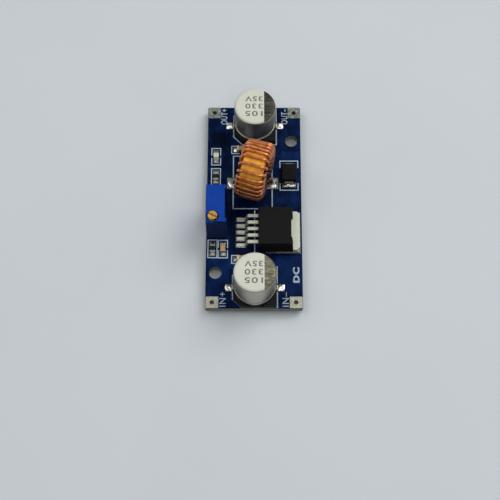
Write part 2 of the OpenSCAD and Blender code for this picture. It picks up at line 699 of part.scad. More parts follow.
// ---- diode ----
module diode_body() {
    l = diode_l / 2;
    w = diode_w / 2;
    lean = 0.15;
    floor_z = pad_top + diode_lead_t + 0.05;
    color("#242424") on_board() translate([diode_x, diode_y, 0]) intersection() {
        rotate([90, 0, 90]) linear_extrude(diode_w, center = true)
            polygon([[lean - l, floor_z], [l - lean, floor_z], [l, diode_lead_z], [l - lean, diode_h],
                     [lean - l, diode_h], [-l, diode_lead_z]]);
        rotate([90, 0, 0]) linear_extrude(diode_l, center = true)
            polygon([[lean - w, floor_z], [w - lean, floor_z], [w, diode_lead_z], [w - lean, diode_h],
                     [lean - w, diode_h], [-w, diode_lead_z]]);
    }
}

module diode_leads() {
    half = diode_lead_t / 2;
    y0 = diode_l / 2;
    y1 = diode_span / 2 - half;
    z0 = pad_top + half;
    color("#c4c6c0") on_board() translate([diode_x, diode_y, 0])
        for (turn = [0, 180]) rotate(turn) rotate([0, 0, 90])
            bent_strip([[y0, diode_lead_z], [y1, diode_lead_z], [y1, z0], [y1 - 1, z0]],
                       diode_lead_t, diode_lead_w);
}

module diode_solder() {
    color("#d4d5d2") on_board() translate([diode_x, diode_y, 0])
        for (turn = [90, -90]) rotate(turn)
            solder_wedge(diode_span / 2, 0, diode_lead_w, diode_pad_reach - 0.1, diode_lead_z / 2);
}

// ---- trimmer ----
module at_trimmer() { on_board() translate([trimmer_x, trimmer_y, 0]) children(); }

module trimmer_housing() {
    w = trimmer_w / 2;
    l = trimmer_l / 2;
    ear = 0.9;                           // end ears beside the recessed side face
    recess = 0.4;
    notch_r = screw_d / 2 + 0.35;
    foot = 0.8;
    color("#1142a0") at_trimmer() difference() {
        union() {
            plate(0, 0, trimmer_w, trimmer_l, trimmer_h - trimmer_foot_h, trimmer_foot_h);
            for (sx = [-1, 1], sy = [-1, 1])
                plate(sx * (w - foot / 2), sy * (l - foot / 2), foot, foot, trimmer_foot_h);
        }
        // inside, open at the bottom, with the axle left standing on the outer side wall
        difference() {
            plate(0, 0, trimmer_w - 2 * side_wall, trimmer_l - 2 * end_wall, trimmer_ceiling + 1, -1);
            translate([-w, rotor_at.y, rotor_at.z]) rotate([0, 90, 0]) {
                cylinder(r = axle_r, h = w + rotor_at.x + rotor_t / 2);
                cylinder(r = 2 * axle_r, h = w + rotor_at.x - rotor_t / 2 - turn_gap);
            }
        }
        plate(w, 0, 2 * recess, trimmer_l - 2 * ear, trimmer_h + 2, -1);
        // notch, neck hole and seal seat around the screw
        post(screw_at.x, screw_at.y, notch_r, trimmer_h - screw_notch, trimmer_h + 1);
        translate([-w - 1, -l - 1, trimmer_h - screw_notch])
            cube([w + screw_at.x + 1, l + screw_at.y + 1, screw_notch + 1]);
        post(screw_at.x, screw_at.y, screw_neck_r + turn_gap, trimmer_ceiling - 1, trimmer_h);
        post(screw_at.x, screw_at.y, screw_neck_r + seal_t, trimmer_ceiling - 1, trimmer_ceiling + seal_t);
    }
}
seal_t = 0.3;

module worm_thread() {
    steps = 24;                          // facets in a full turn
    turns = 3;
    n = steps * turns;
    core = screw_core_r - 0.03;
    grow = (worm_r - core) * flank;
    tip = worm_r + tooth_h;
    section = [[core, -thread_w / 2 - grow], [tip, tooth_h * flank - thread_w / 2],
               [tip, thread_w / 2 - tooth_h * flank], [core, thread_w / 2 + grow]];
    verts = [for (i = [0 : n], q = section)
        let (a = 360 * i / steps, rise = worm_pitch * (i / steps - turns / 2))
        [q.x * cos(a + 90 - 180 * turns), q.x * sin(a + 90 - 180 * turns), q.y + rise]];
    faces = concat(
        [[3, 2, 1, 0]],
        [for (i = [0 : n - 1], k = [0 : 3])
            let (a = 4 * i, m = (k + 1) % 4) [a + k, a + m, a + 4 + m, a + 4 + k]],
        [[4 * n, 4 * n + 1, 4 * n + 2, 4 * n + 3]]);
    polyhedron(verts, faces);
}
screw_core_r = worm_r - tooth_h - turn_gap;

module trimmer_screw() {
    head_z = trimmer_h - screw_notch + turn_gap;
    top = trimmer_h + screw_stand;
    color("#c9a050") at_trimmer() translate([screw_at.x, screw_at.y, 0]) {
        difference() {
            union() {
                post(0, 0, screw_d / 2, head_z, top);
                post(0, 0, screw_neck_r, trimmer_ceiling - 0.1, head_z);
                post(0, 0, screw_core_r, potting_top + turn_gap, trimmer_ceiling - 0.1);
            }
            translate([0, 0, top]) rotate(slot_turn)
                cube([screw_d + 1, slot_w, 2 * slot_depth], center = true);
        }
        translate([0, 0, rotor_at.z]) worm_thread();
    }
}

module trimmer_seal_ring() {
    r = (seal_t - joint_gap) / 2;
    color("#222222") at_trimmer()
        translate([screw_at.x, screw_at.y, trimmer_ceiling + seal_t / 2]) rotate_extrude()
            translate([screw_neck_r + seal_t / 2, 0]) circle(r);
}

// The rotor turns about X. A gap between two teeth faces the screw.
module trimmer_rotor() {
    tip = rotor_r + tooth_h;
    root = rotor_r - tooth_h - turn_gap;
    grow = (tooth_h + turn_gap) * flank;
    shrink = tooth_h * flank;
    color("#e8e4d8") at_trimmer() translate([rotor_at.x, rotor_at.y, rotor_at.z])
        rotate([90, 0, 90]) linear_extrude(rotor_t, center = true) difference() {
            union() {
                circle(root);
                for (i = [0 : rotor_teeth - 1]) rotate(180 + 360 * (i + 0.5) / rotor_teeth)
                    polygon([[root - 0.2, -tooth_w / 2 - grow], [tip, shrink - tooth_w / 2],
                             [tip, tooth_w / 2 - shrink], [root - 0.2, tooth_w / 2 + grow]]);
            }
            circle(axle_r + turn_gap);
        }
}

module trimmer_wiper() {
    plate_t = 0.12;
    reach = element_x - turn_gap - rotor_at.x - rotor_t / 2;
    color("#c8a860") at_trimmer()
        translate([rotor_at.x + rotor_t / 2, rotor_at.y, rotor_at.z]) rotate([90, 0, 90]) {
            linear_extrude(plate_t) difference() {
                union() {
                    circle(axle_r + 0.5);
                    translate([0, -0.35]) square([wiper_r + 0.3, 0.7]);
                }
                circle(axle_r + turn_gap);
            }
            linear_extrude(reach) translate([wiper_r - 0.1, -0.35]) square([0.4, 0.7]);
        }
}

module trimmer_element() {
    color("#e6e2d4") at_trimmer()
        plate(element_x + element_t / 2, 0, element_t, trimmer_l - 2 * end_wall - 0.6,
              trimmer_ceiling - potting_top - 0.1, potting_top);
}

module trimmer_pins() {
    color("#c8c8c0") on_board()
        for (i = [-1 : 1])
            post(pin_x, trimmer_y + i * pin_pitch, pin_d / 2, -board_t - standing_h * 0.6, potting_top + 1.5);
}

module trimmer_potting() {
    color("#2a4a7a") at_trimmer() difference() {
        plate(0, 0, trimmer_w - 2 * side_wall, trimmer_l - 2 * end_wall,
              potting_top - trimmer_foot_h, trimmer_foot_h);
        for (i = [-1 : 1]) post(pin_x - trimmer_x, i * pin_pitch, pin_d / 2, -1, potting_top + 1);
    }
}

// ---- chip parts: their length lies along Y ----
chip_z = pad_top + chip_gap;
module chip_body(h) {
    plate(0, 0, chip_w - 2 * chip_end_t, chip_l - 2 * chip_end_t, h - 2 * chip_end_t, chip_z + chip_end_t);
}
module chip_ends(h) {
    difference() {
        for (s = [-1, 1])
            plate(0, s * (chip_l - chip_end_l) / 2, chip_w, chip_end_l, h, chip_z);
        chip_body(h);
    }
}
module resistor_coat() {
    plate(0, 0, chip_w - 2 * chip_end_t, chip_l - 2 * chip_end_l - 0.1, 0.05,
          chip_z + resistor_h - chip_end_t);
}
module chip_solder_pair(h) {
    for (turn = [90, -90]) rotate(turn)
        solder_wedge(chip_l / 2, 0, chip_w - 0.1, chip_pad_reach - 0.05, h);
    for (s = [-1, 1])
        plate(0, s * (chip_l - chip_end_l) / 2, chip_w - 0.1, chip_end_l, chip_gap, pad_top);
}

module power_led_base() { color("#e9e9df") at_chip(led_at) plate(0, 0, chip_w, chip_l, 0.3, chip_z); }
module power_led_lens() {
    z0 = chip_z + 0.3;
    color("#e8f0e0") at_chip(led_at) rotate([90, 0, 90]) linear_extrude(chip_w, center = true)
        polygon([[-0.65, z0], [0.65, z0], [0.55, led_h], [-0.55, led_h]]);
}
module power_led_ends() {
    color("#d0d0c8") at_chip(led_at)
        for (s = [-1, 1]) plate(0, s * (chip_l / 2 - 0.15), chip_w, 0.3, chip_end_t, chip_z + 0.3);
}

module led_resistor_body() { color("#e8e6de") at_chip(led_resistor_at) chip_body(resistor_h); }
module led_resistor_coat() { color("#1c1c1e") at_chip(led_resistor_at) resistor_coat(); }
module led_resistor_ends() { color("#c8c8c0") at_chip(led_resistor_at) chip_ends(resistor_h); }
module divider_resistor_body() { color("#e8e6de") at_chip(divider_resistor_at) chip_body(resistor_h); }
module divider_resistor_coat() { color("#1c1c1e") at_chip(divider_resistor_at) resistor_coat(); }
module divider_resistor_ends() { color("#c8c8c0") at_chip(divider_resistor_at) chip_ends(resistor_h); }
module divider_ceramic_body() { color("#a08058") at_chip(divider_ceramic_at) chip_body(ceramic_h); }
module divider_ceramic_ends() { color("#c8c8c0") at_chip(divider_ceramic_at) chip_ends(ceramic_h); }
module output_ceramic_body() { color("#a08058") at_chip(output_ceramic_at, 90) chip_body(ceramic_h); }
module output_ceramic_ends() { color("#c8c8c0") at_chip(output_ceramic_at, 90) chip_ends(ceramic_h); }
module input_ceramic_body() { color("#a08058") at_chip(input_ceramic_at, 90) chip_body(ceramic_h); }
module input_ceramic_ends() { color("#c8c8c0") at_chip(input_ceramic_at, 90) chip_ends(ceramic_h); }

module chip_solder() {
    color("#d4d5d2") {
        at_chip(led_at) chip_solder_pair(0.3);
        for (p = [led_resistor_at, divider_resistor_at]) at_chip(p) chip_solder_pair(resistor_h * 0.7);
        at_chip(divider_ceramic_at) chip_solder_pair(ceramic_h * 0.5);
        for (p = [output_ceramic_at, input_ceramic_at]) at_chip(p, 90) chip_solder_pair(ceramic_h * 0.5);
    }
}

// Stubs under the board: solder cones round the inductor leads and the trimmer pins
module solder_stub(x, y, wire) {
    height = standing_h - copper_t;
    color("#d4d5d2") translate([x, y, 0]) difference() {
        cylinder(r1 = wire + 0.12, r2 = wire + ring_w * 0.8, h = height);
        translate([0, 0, standing_h * 0.4]) cylinder(r = wire + joint_gap, h = height);
    }
}
module underside_solder() {
    for (h = inductor_holes) solder_stub(h.x, h.y, wire_r);
    for (i = [-1 : 1]) solder_stub(pin_x, trimmer_y + i * pin_pitch, pin_d / 2);
}

circuit_board();
screen_print();
output_plus_terminal();
output_minus_terminal();
input_plus_terminal();
input_minus_terminal();
capacitor_pads();
inductor_pads();
regulator_pads();
diode_pads();
chip_pads();
underside_pads();
output_capacitor_can();
output_capacitor_base();
output_capacitor_leads();
input_capacitor_can();
input_capacitor_base();
input_capacitor_leads();
inductor_core();
inductor_winding();
regulator_body();
regulator_tab();
regulator_leads();
diode_body();
diode_leads();
trimmer_housing();
trimmer_screw();
trimmer_seal_ring();
trimmer_rotor();
trimmer_wiper();
trimmer_element();
trimmer_pins();
trimmer_potting();
power_led_base();
power_led_lens();
power_led_ends();
led_resistor_body();
led_resistor_coat();
led_resistor_ends();
divider_resistor_body();
divider_resistor_coat();
divider_resistor_ends();
divider_ceramic_body();
divider_ceramic_ends();
output_ceramic_body();
output_ceramic_ends();
input_ceramic_body();
input_ceramic_ends();
capacitor_solder();
inductor_solder();
regulator_solder();
diode_solder();
chip_solder();
underside_solder();
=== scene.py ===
"""Step-down converter module: looks for its circuit board, parts, wire and solder."""

import math
import random

import bmesh
import bpy
from mathutils import Matrix, Vector, noise


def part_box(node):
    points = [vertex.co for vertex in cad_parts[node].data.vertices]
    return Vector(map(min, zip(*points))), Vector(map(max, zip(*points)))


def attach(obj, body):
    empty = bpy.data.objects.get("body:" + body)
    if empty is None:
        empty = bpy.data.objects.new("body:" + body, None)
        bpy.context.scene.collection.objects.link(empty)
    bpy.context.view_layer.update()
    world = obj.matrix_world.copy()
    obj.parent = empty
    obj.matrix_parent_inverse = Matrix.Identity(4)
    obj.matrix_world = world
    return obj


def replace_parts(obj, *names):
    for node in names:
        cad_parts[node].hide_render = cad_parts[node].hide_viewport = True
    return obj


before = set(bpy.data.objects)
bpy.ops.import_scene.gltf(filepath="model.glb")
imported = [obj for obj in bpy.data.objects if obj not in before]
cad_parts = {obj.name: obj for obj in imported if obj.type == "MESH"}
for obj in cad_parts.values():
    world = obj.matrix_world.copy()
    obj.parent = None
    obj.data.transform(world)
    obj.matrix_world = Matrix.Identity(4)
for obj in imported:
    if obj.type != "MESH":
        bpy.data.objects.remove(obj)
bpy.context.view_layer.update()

MM = 0.001


# ---- places and sizes read from the frame, in millimetres ----
def box(name):
    """Low and high corners of one of the frame's nodes, to a hundredth of a millimetre."""
    return [[round(c / MM, 2) for c in corner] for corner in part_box(name)]


def middle(name):
    """Middle of one of the frame's nodes, to a hundredth of a millimetre."""
    return tuple(round((low + high) / 2 / MM, 2) for low, high in zip(*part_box(name)))


BOARD_UNDER, BOARD_TOP = (corner[2] for corner in box("circuit_board"))
PAD_TOP = box("chip_pads")[1][2]

CAPACITOR_X, CAPACITOR_Y = middle("output_capacitor_base")[:2]
CAN_TOP = box("output_capacitor_can")[1][2]

COIL_AT = middle("inductor_core")
CORE_LOW, CORE_HIGH = box("inductor_core")
COIL_PADS_LOW, COIL_PADS_HIGH = box("inductor_pads")
COIL_PADS_Y = (COIL_PADS_LOW[1] + COIL_PADS_HIGH[1]) / 2
COIL_PAD_HALF = (COIL_PADS_HIGH[1] - COIL_PADS_LOW[1]) / 2
LEAD_HOLES = ((COIL_PADS_LOW[0] + COIL_PAD_HALF, COIL_PADS_Y),
              (COIL_PADS_HIGH[0] - COIL_PAD_HALF, COIL_PADS_Y))

REGULATOR_Y = middle("regulator_tab")[1]
TAB_LOW, TAB_HIGH = box("regulator_tab")
FOOT_TIP = box("regulator_leads")[0][0]

DIODE_AT = middle("diode_body")[:2]
DIODE_LEADS_LOW, DIODE_LEADS_HIGH = box("diode_leads")

CHIP_L = box("power_led_ends")[1][1] - box("power_led_ends")[0][1]
UPRIGHT_CHIPS = [middle(f"{chip}_ends")[:2]
                 for chip in ("power_led", "led_resistor", "divider_resistor", "divider_ceramic")]
CROSSWISE_CHIPS = [middle(f"{chip}_ends")[:2] for chip in ("output_ceramic", "input_ceramic")]

# ---- sizes of the real parts, in millimetres and degrees ----
RING_OD = CORE_HIGH[2] - CORE_LOW[2]
RING_ID = 7.7
RING_W = 5.4
RING_EDGE = 0.7        # rounding of the core's edges
COIL_TURN = 15.0       # the ring stands turned by this about Z

WIRE_D = 0.8
WIRE_GAP = 0.1         # air between the wire and the core
TURNS = 24
LEAD_GAP = 16.0        # open angle of the ring between the two leads
WIDEST_AT = 112.0      # angle round the ring where the turns lie farthest apart
WIDER_BY = 0.45        # how strongly they are pushed away from there
WIDER_WITHIN = 34.0    # angle over which that push fades
TURN_LEAN = 10.0       # lean of the turns' outer side, most at the ring's two sides
TURN_SLOPE = 2.2       # slope of a turn across the core's outer face
TURN_SHIFT = 1.0       # largest chance shift of a turn's outer side

REGULATOR_PITCH = 1.7
FOOT_L = 2.0

# ---- patches of the solder mask: left, right, near and far edge, and how strongly they show ----
BARE_WINDOWS = ((-10.6, -7.0, 16.4, 19.9, 0.75),
                (-10.9, -4.2, -6.0, 19.9, 0.3),
                (-4.4, 2.6, -2.6, 14.0, 0.45),
                (-5.8, 0.6, -14.2, -1.6, 0.5),
                (5.9, 6.6, 2.0, 20.0, 0.35))
COPPER_POURS = ((6.9, 11.1, 11.2, 14.6, 0.3),
                (-6.2, -2.0, -16.8, -14.0, 0.45),
                (5.4, 11.3, -23.5, -13.6, 0.3),
                (-10.8, -5.8, -20.5, -14.2, 0.2))

# ---- print: name, words, place in plan, length and boldness ----
LABELS = (("label_output_plus", "OUT+", -7.5, 24.4, 4.4, 0.02),
          ("label_output_minus", "OUT\N{EN DASH}", 7.55, 24.45, 4.4, 0.02),
          ("label_input_plus", "IN+", -7.4, -24.7, 3.7, 0.005),
          ("label_input_minus", "IN\N{EN DASH}", 7.4, -24.7, 3.7, 0.005),
          ("label_current", "DC", 10.0, -18.5, 4.0, 0.05))
LABEL_H = 1.6
CAN_MARKS = ("105", "330", "35V")
CAN_MARK_H = 1.4
CAN_MARK_L = 4.2
CAN_MARK_PITCH = 2.05
FIRST_MARK = (-0.25, -2.1)   # middle of the nearest line, from the can's axis

# ---- stage: half the floor's side in metres, and each lamp's name, place, size and watts ----
FLOOR_HALF = 1.2
LAMPS = (("key", (0.44, 0.34, 0.68), 0.7, 4.3),
         ("fill", (-0.45, 0.1, 0.7), 0.5, 1.7),
         ("front", (0.08, -0.38, 0.72), 0.4, 1.0))


# ---- colours ----
def rgb(code):
    """Linear colour from a six-digit code."""
    parts = [int(code[i:i + 2], 16) / 255 for i in (0, 2, 4)]
    return tuple(c / 12.92 if c <= 0.04045 else ((c + 0.055) / 1.055) ** 2.4 for c in parts) + (1.0,)


# ---- shader tools ----
class Signal:
    """A number or vector that varies over a surface. Arithmetic on it adds nodes to its finish."""

    def __init__(self, finish, socket):
        self.finish = finish
        self.socket = socket

    def math(self, operation, *values):
        return self.finish.node("ShaderNodeMath", {"operation": operation}, values)

    def __add__(self, other):
        return self.math("ADD", self, other)

    def __sub__(self, other):
        return self.math("SUBTRACT", self, other)

    def __rsub__(self, other):
        return self.math("SUBTRACT", other, self)

    def __mul__(self, other):
        return self.math("MULTIPLY", self, other)

    def __pow__(self, other):
        return self.math("POWER", self, other)

    def __abs__(self):
        return self.math("ABSOLUTE", self)

    __radd__ = __add__
    __rmul__ = __mul__

    def most(self, other):
        return self.math("MAXIMUM", self, other)

    def step(self, low, high):
        """0 below low and 1 above high, smooth between."""
        return self.finish.node("ShaderNodeMapRange", {"interpolation_type": "SMOOTHSTEP"},
                                {0: self, 1: low, 2: high, 3: 0.0, 4: 1.0})

    def past(self, edge, soft):
        """0 before an edge and 1 past it, smooth within soft on both sides."""
        return self.step(edge - soft, edge + soft)

    def band(self, low, high, soft):
        """1 between low and high, with soft edges."""
        return self.past(low, soft) * (1.0 - self.past(high, soft))


class Finish:
    """One material: a principled surface fed by signals measured in millimetres."""

    def __init__(self, name, rough=0.5, metal=0.0, coat=0.0, ior=1.5):
        self.material = bpy.data.materials.new(name)
        self.material.use_nodes = True
        self.tree = self.material.node_tree
        self.tree.nodes.clear()
        self.surface = self.tree.nodes.new("ShaderNodeBsdfPrincipled")
        output = self.tree.nodes.new("ShaderNodeOutputMaterial")
        self.tree.links.new(self.surface.outputs[0], output.inputs[0])
        self.set("Roughness", rough)
        self.set("Metallic", metal)
        self.set("Coat Weight", coat)
        self.set("IOR", ior)
        self.place = self.node("ShaderNodeVectorMath", {"operation": "SCALE"},
                               {0: self.node("ShaderNodeTexCoord", output=3), 3: 1 / MM})
        split = self.node("ShaderNodeSeparateXYZ", None, [self.place])
        self.x, self.y, self.z = (Signal(self, o) for o in split.socket.node.outputs)

    def feed(self, socket, value):
        """Links a signal to a socket, or sets a plain value on it."""
        if isinstance(value, Signal):
            self.tree.links.new(value.socket, socket)
        else:
            socket.default_value = value

    def node(self, kind, settings=None, inputs=(), output=0):
        """A new node with its settings, then its inputs by place or name. Gives one of its outputs."""
        made = self.tree.nodes.new(kind)
        for name, value in (settings or {}).items():
            if name == "stops":
                ramp = made.color_ramp.elements
                while len(ramp) < len(value):
                    ramp.new(0.5)
                for element, (at, colour) in zip(ramp, value):
                    element.position = at
                    element.color = colour
            else:
                setattr(made, name, value)
        pairs = inputs.items() if isinstance(inputs, dict) else enumerate(inputs)
        for key, value in pairs:
            self.feed(made.inputs[key], value)
        return Signal(self, made.outputs[output])

    def set(self, name, value):
        """Feeds one of the surface's own sockets."""
        self.feed(self.surface.inputs[name], value)
        return self

    def stretch(self, sx, sy, sz, turn=0.0):
        """The place with each axis scaled, after a turn about Z in degrees."""
        where = self.place
        if turn:
            where = self.node("ShaderNodeVectorRotate", {"rotation_type": "Z_AXIS"},
                              {"Vector": where, "Angle": math.radians(turn)})
        return self.node("ShaderNodeVectorMath", {"operation": "MULTIPLY"}, {0: where, 1: (sx, sy, sz)})

    def noise(self, scale, detail=3.0, rough=0.55, at=None):
        return self.node("ShaderNodeTexNoise", None,
                         {"Vector": at or self.place, "Scale": scale, "Detail": detail, "Roughness": rough})

    def mix(self, share, first, second):
        """Colour from first to second as share goes from 0 to 1."""
        return self.node("ShaderNodeMix", {"data_type": "RGBA"}, {0: share, 6: first, 7: second}, output=2)

    def ramp(self, share, *stops):
        return self.node("ShaderNodeValToRGB", {"stops": stops}, [share])

    def facing(self, axis):
        """Share by which the surface faces along an axis: 0, 1 or 2 for X, Y or Z."""
        normal = self.node("ShaderNodeNewGeometry", output=1)
        return self.node("ShaderNodeSeparateXYZ", None, [normal], output=axis)

    def relief(self, height, depth, round_edge=0.0):
        """Bump of depth millimetres, over edges rounded by round_edge millimetres."""
        inputs = {"Strength": 1.0, "Distance": depth * MM, "Height": height}
        if round_edge:
            inputs["Normal"] = self.node("ShaderNodeBevel", {"samples": 4}, {"Radius": round_edge * MM})
        return self.set("Normal", self.node("ShaderNodeBump", None, inputs))


# ---- finishes, one for each material slot ----
def tint_areas(f, colour, areas, soft, tint):
    """The colour with a tint laid over some oblong areas of the board."""
    for left, right, near, far, share in areas:
        area = f.x.band(left, right, soft) * f.y.band(near, far, soft)
        colour = f.mix(area * share, colour, rgb(tint))
    return colour


def solder_mask():
    """Glossy navy mask over copper, with the olive laminate showing at the cut edges and in the holes."""
    f = Finish("solder_mask_navy", rough=0.3, ior=1.15)
    cloud = f.noise(0.35, 2.0)
    mask = f.mix(cloud.step(0.35, 0.7), rgb("031130"), rgb("08224E"))
    mask = tint_areas(f, mask, BARE_WINDOWS, 0.08, "020817")
    mask = tint_areas(f, mask, COPPER_POURS, 0.1, "0E2B5C")
    layers = f.noise(1.0, 3.0, at=f.stretch(0.6, 0.6, 9.0))
    laminate = f.ramp(layers, (0.3, rgb("56584C")), (0.55, rgb("7C7F70")), (0.75, rgb("9A9C8C")))
    flat = abs(f.facing(2)).step(0.4, 0.6)
    f.set("Base Color", f.mix(flat, laminate, mask))
    f.set("Roughness", 0.62 - flat * 0.44 + cloud * 0.06)
    ripple = f.noise(1.2, 2.0) + f.noise(9.0, 2.0) * 0.15
    return f.relief(ripple + layers * (1.0 - flat), 0.03, 0.05)


def print_ink():
    """Pale ink, a little thin in places."""
    f = Finish("print_ink_pale", rough=0.6, ior=1.2)
    thin = f.noise(3.5, 4.0).step(0.56, 0.72)
    f.set("Base Color", f.mix(0.1 + thin * 0.45, rgb("B2C0CC"), rgb("3A5070")))
    return f.relief(f.noise(14.0), 0.01)


def tinned_pad():
    """Dull hot-tinned copper with an uneven skin, brighter at the input terminals through a painted
    highlight.
    """
    f = Finish("tinned_pad_dull", rough=0.42, metal=0.75)
    patch = f.noise(1.6, 4.0)
    skin = f.ramp(patch, (0.3, rgb("52574E")), (0.5, rgb("777B70")), (0.7, rgb("A6A99B")))
    # painted highlight: the pads at the input end are lightened
    input_end_highlight = 1.0 - f.y.past(-23.0, 1.0)
    f.set("Base Color", f.mix(input_end_highlight * 0.5, skin, rgb("C4C1AE")))
    f.set("Roughness", 0.3 + patch * 0.3)
    return f.relief(patch + f.noise(5.0) * 0.4, 0.08, 0.03)


def can_metal():
    """Drawn aluminium can. Its flat end is lacquered pale, with a dark half moon at the minus side. Painted
    shade darkens the side below the bead and at the rim.
    """
    f = Finish("can_aluminium", rough=0.3, metal=1.0)
    lid_r = 4.87
    rim_r = 4.89
    moon_x = 2.2
    across = f.x - CAPACITOR_X
    along = abs(f.y) - CAPACITOR_Y
    radius = (across * across + along * along) ** 0.5
    lid = (1.0 - radius.past(lid_r, 0.03)) * f.z.past(CAN_TOP - 0.35, 0.05)
    rim = radius.past(rim_r, 0.03) * f.z.past(CAN_TOP - 0.65, 0.05)
    moon = across.past(moon_x, 0.04)
    streak = f.noise(1.0, 4.0, at=f.stretch(0.5, 2.4, 0.5))
    # painted reflection: the half moon of the output can, at +Y, is darker than the input can's
    dark = f.mix(f.y.past(0.0, 1.0),
                 f.ramp(streak, (0.3, rgb("3A382B")), (0.5, rgb("6B6856")), (0.7, rgb("9A967E"))),
                 f.ramp(streak, (0.35, rgb("1A1A14")), (0.52, rgb("34332A")), (0.7, rgb("62604F"))))
    fade = f.noise(0.3, 2.0)
    lacquer = f.mix(moon, f.mix(fade, rgb("C6C7B8"), rgb("D6D7CA")), dark)
    drawn = f.noise(1.0, 3.0, at=f.stretch(0.4, 0.4, 5.0))
    # painted shade: the side darkens below the bead, near the board, and at the rim of the flat end
    shade_below_bead = 1.0 - f.z.step(BOARD_TOP + 1.6, BOARD_TOP + 2.6)
    side = f.mix((shade_below_bead * 0.6).most(rim * 0.35), f.mix(drawn, rgb("A8A499"), rgb("CAC6BA")), rgb("4E4C48"))
    f.set("Base Color", f.mix(lid, side, lacquer))
    f.set("Metallic", 1.0 - lid * (1.0 - moon * 0.45))
    f.set("Roughness", 0.3 + drawn * 0.16 + lid * 0.12)
    return f.relief(drawn * 0.6 + streak * lid * moon, 0.015, 0.04)


def can_ink():
    """Grey-brown stamping ink on the flat end of a can."""
    f = Finish("can_ink_brown", rough=0.6)
    f.set("Base Color", f.mix(f.noise(4.0), rgb("5B5A50"), rgb("7E7D70")))
    return f.relief(f.noise(16.0), 0.005)


def base_plastic():
    """Black moulded seat of a capacitor."""
    f = Finish("base_plastic_black", rough=0.5, ior=1.15)
    cloud = f.noise(2.0)
    f.set("Base Color", f.mix(cloud, rgb("121314"), rgb("232426")))
    f.set("Roughness", 0.42 + cloud * 0.2)
    return f.relief(f.noise(18.0), 0.01, 0.08)


def lead_metal():
    """Tinned leads and plated chip ends, darkened by painted shade on the -X side's chips and at the
    diode's near foot.
    """
    f = Finish("lead_tinned", rough=0.34, metal=0.55)
    patch = f.noise(2.4, 3.0)
    # painted shade: chip ends at the -X side are darkened
    shaded_chips = 1.0 - f.x.past(-6.75, 0.15)
    foot_half = 1.25
    toe = DIODE_LEADS_LOW[1]
    over_foot = f.x.band(DIODE_AT[0] - foot_half, DIODE_AT[0] + foot_half, 0.1)
    # painted shade: the diode's near foot is darkened
    shaded_diode_foot = over_foot * f.y.band(toe - 0.8, toe + 0.45, 0.1)
    bright = f.mix(patch, rgb("B6B8A4"), rgb("CFD0C0"))
    f.set("Base Color", f.mix(shaded_chips * 0.45 + shaded_diode_foot * 0.75, bright, rgb("62645E")))
    f.set("Roughness", 0.26 + patch * 0.22)
    return f.relief(patch + f.noise(9.0) * 0.3, 0.03, 0.06)


def shade_near_board(f):
    """Share of painted shade on the coil, rising towards the board."""
    return (1.0 - f.z.step(BOARD_TOP + 4.0, BOARD_TOP + 14.5)) * 0.9


def core_powder():
    """Yellow coating of the ring core, darkened by painted shade towards the board."""
    f = Finish("core_coating_yellow", rough=0.5)
    cloud = f.noise(0.8)
    coating = f.mix(cloud.step(0.3, 0.75), rgb("DC9014"), rgb("F8B82E"))
    # painted shade: the coating darkens to brown towards the board
    f.set("Base Color", f.mix(shade_near_board(f), coating, rgb("562A0A")))
    return f.relief(f.noise(6.0, 4.0), 0.05, 0.05)


def winding_wire():
    """Enamelled copper wire, browner where the enamel is thick, and darkened by painted shade towards the
    board.
    """
    f = Finish("winding_copper", rough=0.32, metal=0.8, coat=0.5)
    f.set("Coat Roughness", 0.12)
    cloud = f.noise(0.9, 3.0)
    enamel = f.ramp(cloud, (0.3, rgb("BE6029")), (0.5, rgb("DC854C")), (0.7, rgb("F0A877")))
    # painted shade: the wire darkens to deep brown towards the board
    f.set("Base Color", f.mix(shade_near_board(f), enamel, rgb("45190A")))
    f.set("Roughness", 0.2 + f.noise(3.0) * 0.2)
    return f.relief(f.noise(4.0), 0.02)


def mould_compound():
    """Matt black epoxy of the regulator and the diode."""
    f = Finish("mould_compound_black", rough=0.6, ior=1.15)
    cloud = f.noise(0.7)
    f.set("Base Color", f.mix(cloud, rgb("121312"), rgb("1B1C1A")))
    f.set("Roughness", 0.52 + cloud * 0.2)
    return f.relief(f.noise(22.0, 2.0), 0.012, 0.1)


def tab_metal():
    """Dull tinned copper of the regulator's tab."""
    f = Finish("tab_dull_tin", rough=0.5, metal=0.55)
    cloud = f.noise(1.1, 4.0)
    scratch = f.noise(1.0, 4.0, at=f.stretch(5.0, 0.5, 5.0, 35.0)).step(0.6, 0.75)
    f.set("Base Color", f.mix(scratch * 0.4, f.mix(cloud, rgb("C0C4B2"), rgb("D2D6C6")), rgb("8F9384")))
    f.set("Roughness", 0.42 + cloud * 0.2)
    return f.relief(cloud + scratch * 0.5, 0.03, 0.08)


def trimmer_plastic():
    """Blue moulded housing of the trimmer, with painted shade darkening the end that faces the input."""
    f = Finish("trimmer_plastic_blue", rough=0.45, ior=1.2)
    cloud = f.noise(0.9)
    # painted shade: the end facing -Y, towards the input, is darkened to near-black navy
    end = (0.0 - f.facing(1)).step(0.5, 0.9)
    f.set("Base Color", f.mix(end * 0.8, f.mix(cloud, rgb("02338E"), rgb("06409E")), rgb("060F2C")))
    f.set("Roughness", 0.4 + cloud * 0.14)
    return f.relief(f.noise(14.0, 2.0), 0.012, 0.08)


def screw_brass():
    """Turned brass of the adjusting screw."""
    f = Finish("screw_brass", rough=0.34, metal=0.9)
    cloud = f.noise(1.8)
    f.set("Base Color", f.mix(cloud, rgb("B98A3C"), rgb("D8B064")))
    f.set("Roughness", 0.28 + cloud * 0.2)
    return f.relief(f.noise(1.0, 3.0, at=f.stretch(6.0, 1.0, 6.0, 20.0)), 0.015, 0.06)


def speckled(name, first, second, scale, rough, metal=0.0, depth=0.01):
    """A quiet finish that drifts between two shades."""
    f = Finish(name, rough=rough, metal=metal, ior=1.25)
    cloud = f.noise(scale)
    f.set("Base Color", f.mix(cloud, rgb(first), rgb(second)))
    f.set("Roughness", rough - 0.08 + cloud * 0.16)
    return f.relief(f.noise(scale * 6.0, 2.0), depth, 0.03)


